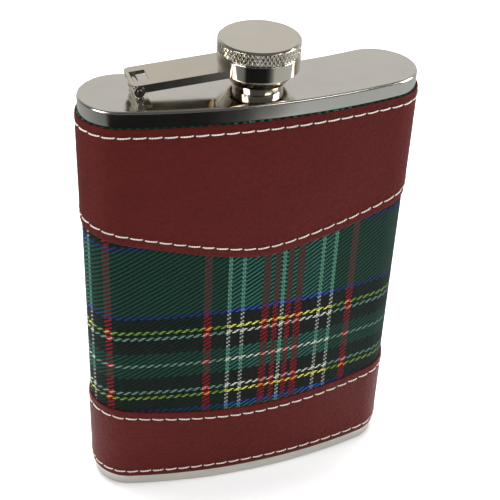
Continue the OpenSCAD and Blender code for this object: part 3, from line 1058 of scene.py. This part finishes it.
crossed = [groove(t.math(way, tooth, lean)) for way in ("ADD", "SUBTRACT")]
ridge_height = t.math("MINIMUM", *crossed)
ridge_height = t.math("MINIMUM", t.math("MULTIPLY", ridge_height, 1.35), 1.0)
pressed = t.math("MULTIPLY", t.math("SUBTRACT", 1.0, ridge_height), t.inputs["Depth"])
outer_r = t.math("SUBTRACT", t.inputs["Radius"], pressed)
gap = t.math("SUBTRACT", outer_r, t.inputs["Inner radius"])
radius = t.math("MULTIPLY_ADD", gap, outside, t.inputs["Inner radius"])
rolled_up = t.combine(
    t.math("MULTIPLY", radius, t.math("COSINE", turn)),
    t.math("MULTIPLY", radius, t.math("SINE", turn)),
    t.math("ADD", height_up, t.inputs["Low"]),
)
placed = t.add(
    "ShaderNodeVectorMath", {0: rolled_up, 1: t.inputs["Centre"]}, operation="ADD"
).outputs[0]
rolled_ring = t.add("GeometryNodeSetPosition", {"Geometry": grid, "Position": placed}).outputs[0]
rolled_ring = t.add(
    "GeometryNodeMergeByDistance", {"Geometry": rolled_ring, "Distance": 1e-6}
).outputs[0]
t.finish(rolled_ring, t.inputs["Material"])

knurl = put("cap_head_knurl", bpy.data.meshes.new("cap_head_knurl"))
knurl_tree.run(
    knurl, Low=(knurl_low - 0.05) * MM, Height=knurl_h * MM, Material=cap_steel,
)
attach(knurl, "cap")
print("knurl:", len(knurl.data.polygons), "faces,", knurl_rows, "rows of points")

# %% [markdown]
# ## Arm and hinge
# These are pressed and rolled from sheet. Their shapes are already right in the frame, so each is
# a copy of its frame node with the sharp edges rounded off, which is all that pressing changes.

# %% Arm, link, pins and hinge base
for name, node, body, width in (
    ("pressed_arm", "arm", "arm", 0.1),
    ("rolled_link", "link", "link", 0.06),
    ("hinge_bracket", "hinge_base", "flask", 0.06),
    ("lower_rivet", "lower_pin", "flask", 0.05),
    ("upper_rivet", "upper_pin", "arm", 0.05),
):
    piece = softened(name, node, width * MM)
    paint(piece, hinge_steel)
    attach(piece, body)
    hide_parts(node)
    print(name, len(piece.data.polygons), "faces")

# %% [markdown]
# The bottle's own wall can only be glimpsed through the open mouth, and its shape in the frame is
# exact. So it keeps its frame mesh, and only takes its finish.

# %% The bottle's wall
paint(nodes["body_wall"], rolled_steel)

# %% [markdown]
# ## Floor and light
# A polished object looks like what it reflects. So the studio matters as much as the finish: a pale
# floor, a soft grey room, wide soft lights at both sides and above, and a glowing ring that only
# reflections see, whose tones are painted reflections. The floor is one large flat face, far wider
# than any camera sees.

# %% Floor
FLOOR = 10.0
corners = [(x * FLOOR, y * FLOOR, 0) for x, y in ((-1, -1), (1, -1), (1, 1), (-1, 1))]
floor_mesh = bpy.data.meshes.new("floor")
floor_mesh.from_pydata(corners, [], [(0, 1, 2, 3)])
floor = put("floor", floor_mesh)
pale = Finish("pale_floor", Roughness=0.9, Specular_IOR_Level=0.1)
clouds = pale.mix(pale.noise(8, 2), srgb(250, 250, 250), srgb(252, 252, 252))
floor_finish = pale.wire(Base_Color=clouds)
paint(floor, floor_finish)

# %% [markdown]
# Polished metal needs something to mirror. Round the object lies a flat ring that glows and that
# only reflections see: its light is painted reflection, not a lamp. It is painted dark towards the
# camera, as an unlit studio would be, and pale at the sides. Two ramps over the angle round the
# object set how bright the metal looks: one for the ring close by, which the plates and the cap's
# sides mirror, and one for the ring further out.

# %% Glowing ring of painted reflections
CARD_NEAR, CARD_FAR, CARD_STEPS = 0.09, 1.2, 96
ring_points, ring_quads = [], []
for i in range(CARD_STEPS):
    a = 2 * math.pi * i / CARD_STEPS
    for r in (CARD_NEAR, CARD_FAR):
        ring_points.append((r * math.cos(a), r * math.sin(a), 0.001))
    j = (i + 1) % CARD_STEPS
    ring_quads.append((2 * i, 2 * i + 1, 2 * j + 1, 2 * j))
glow_ring_mesh = bpy.data.meshes.new("reflection_glow_ring")
glow_ring_mesh.from_pydata(ring_points, [], ring_quads)
glow_ring = put("reflection_glow_ring", glow_ring_mesh)
glow_ring.visible_camera = glow_ring.visible_diffuse = glow_ring.visible_shadow = False
# an emitting surface: the tones below are painted reflections for the metal
glow = Finish(
    "reflection_glow_ring", Roughness=1.0, Specular_IOR_Level=0.0, Base_Color=(0, 0, 0, 1),
    Emission_Strength=1.0,
)
place = glow.add("ShaderNodeTexCoord").outputs["Object"]
at_x, at_y, _ = glow.add("ShaderNodeSeparateXYZ", {0: place}).outputs
bearing = glow.math("ARCTAN2", at_x, glow.math("MULTIPLY", at_y, -1.0))
share = glow.range(bearing, -math.pi, math.pi, 0.0, 1.0)


def tone_ramp(tones):
    """A ramp of brightness over the bearing in degrees from the front, towards the right."""
    node = glow.add("ShaderNodeValToRGB", {0: share})
    stops = node.color_ramp.elements
    for angle, tone in tones[1:-1]:
        stops.new((angle + 180) / 360).color = (tone, tone, tone, 1)
    for stop, (angle, tone) in ((stops[0], tones[0]), (stops[len(stops) - 1], tones[-1])):
        stop.color = (tone, tone, tone, 1)
    return node.outputs[0]


near_tones = tone_ramp([
    (-180, 0.5), (-130, 0.3), (-112, 0.35), (-106, 1.2), (-72, 1.0), (-57, 0.8), (-53, 0.012),
    (2, 0.016), (8, 0.05), (14, 0.09), (20, 0.4), (24, 0.95), (28, 1.0), (33, 0.78), (60, 0.78),
    (85, 0.82), (90, 0.1), (97, 0.12), (101, 0.7), (180, 0.5),
])
far_tones = tone_ramp([
    (-180, 0.5), (-130, 0.45), (-100, 0.36), (-75, 0.25), (-58, 0.2), (-50, 0.012), (2, 0.014),
    (12, 0.05), (20, 0.2), (28, 0.55), (45, 0.55), (70, 0.6), (180, 0.5),
])
NEAR_REACH, SOFT_EDGE = 0.221, 0.004
square_reach = glow.math("ADD", glow.math("POWER", at_x, 2.0), glow.math("POWER", at_y, 2.0))
reach = glow.math("SQRT", square_reach)
is_far = glow.range(reach, NEAR_REACH - SOFT_EDGE, NEAR_REACH + SOFT_EDGE, 0.0, 1.0)
COOL = (0.94, 1.0, 1.02)
cool = glow.add("ShaderNodeVectorMath", {0: far_tones, 1: COOL}, operation="MULTIPLY").outputs[0]
paint(glow_ring, glow.wire(Emission_Color=glow.mix(is_far, near_tones, cool)))
print("ring card:", len(glow_ring.data.polygons), "faces")

# %% [markdown]
# Leather and cloth need broad light from both sides, so that their edges don't fall away into dark.
# The light from above is the strongest, but reflections don't see it, because a
# lamp mirrored in the top plate would burn a white patch into it. A small lamp draws
# the bright line along the plate's round edge. The room itself is dark in front and pale behind,
# and the colours are shown as they are, with the Standard view.

# %% Lights
def soft_light(name, at, look_at, size, power):
    lamp = bpy.data.lights.new(name, "AREA")
    lamp.shape = "RECTANGLE"
    lamp.size, lamp.size_y = size
    lamp.energy = power
    holder = put(name, lamp)
    holder.location = at
    holder.rotation_mode = "QUATERNION"
    holder.rotation_quaternion = (Vector(look_at) - Vector(at)).to_track_quat("-Z", "Y")
    return holder


MIDDLE = (0, 0, 0.07)
soft_light("right_softbox", (0.8, -0.2, 0.4), MIDDLE, (0.5, 0.5), 7)
soft_light("left_softbox", (-0.81, -0.24, 0.62), MIDDLE, (0.5, 0.45), 7)
soft_light("edge_light", (0.46, -0.56, 0.85), MIDDLE, (0.42, 0.14), 1.0)
overhead = soft_light("overhead_softbox", (0.0, 0.34, 1.2), MIDDLE, (0.9, 0.6), 25)
overhead.visible_glossy = False

# %% Room
BACK_OF_ROOM = (0.33, 0.94, 0.0)
world = bpy.data.worlds.new("room")
bpy.context.scene.world = world
world.use_nodes = True
room = world.node_tree
sky = room.nodes["Background"]
where = room.nodes.new("ShaderNodeTexCoord")
toward = room.nodes.new("ShaderNodeVectorMath")
toward.operation = "DOT_PRODUCT"
toward.inputs[1].default_value = BACK_OF_ROOM
ramp = room.nodes.new("ShaderNodeValToRGB")
depth = room.nodes.new("ShaderNodeMapRange")
depth.inputs["From Min"].default_value = -1.0
room.links.new(where.outputs["Generated"], toward.inputs[0])
room.links.new(toward.outputs["Value"], depth.inputs[0])
room.links.new(depth.outputs[0], ramp.inputs[0])
room.links.new(ramp.outputs[0], sky.inputs[0])
# from the front of the room to the back; brightness of the walls
ROOM_TONES = [(0.0, 0.10), (0.5, 0.14), (0.66, 0.24), (0.78, 0.42), (0.87, 0.70), (1.0, 0.74)]
tones = ramp.color_ramp.elements
for at, tone in ROOM_TONES[1:-1]:
    tones.new(at).color = (tone, tone, tone, 1)
tones[0].color = (ROOM_TONES[0][1],) * 3 + (1,)
tones[len(tones) - 1].color = (ROOM_TONES[-1][1],) * 3 + (1,)
sky.inputs["Strength"].default_value = 1.0
bpy.context.scene.view_settings.view_transform = "Standard"
print("lights and room ready")
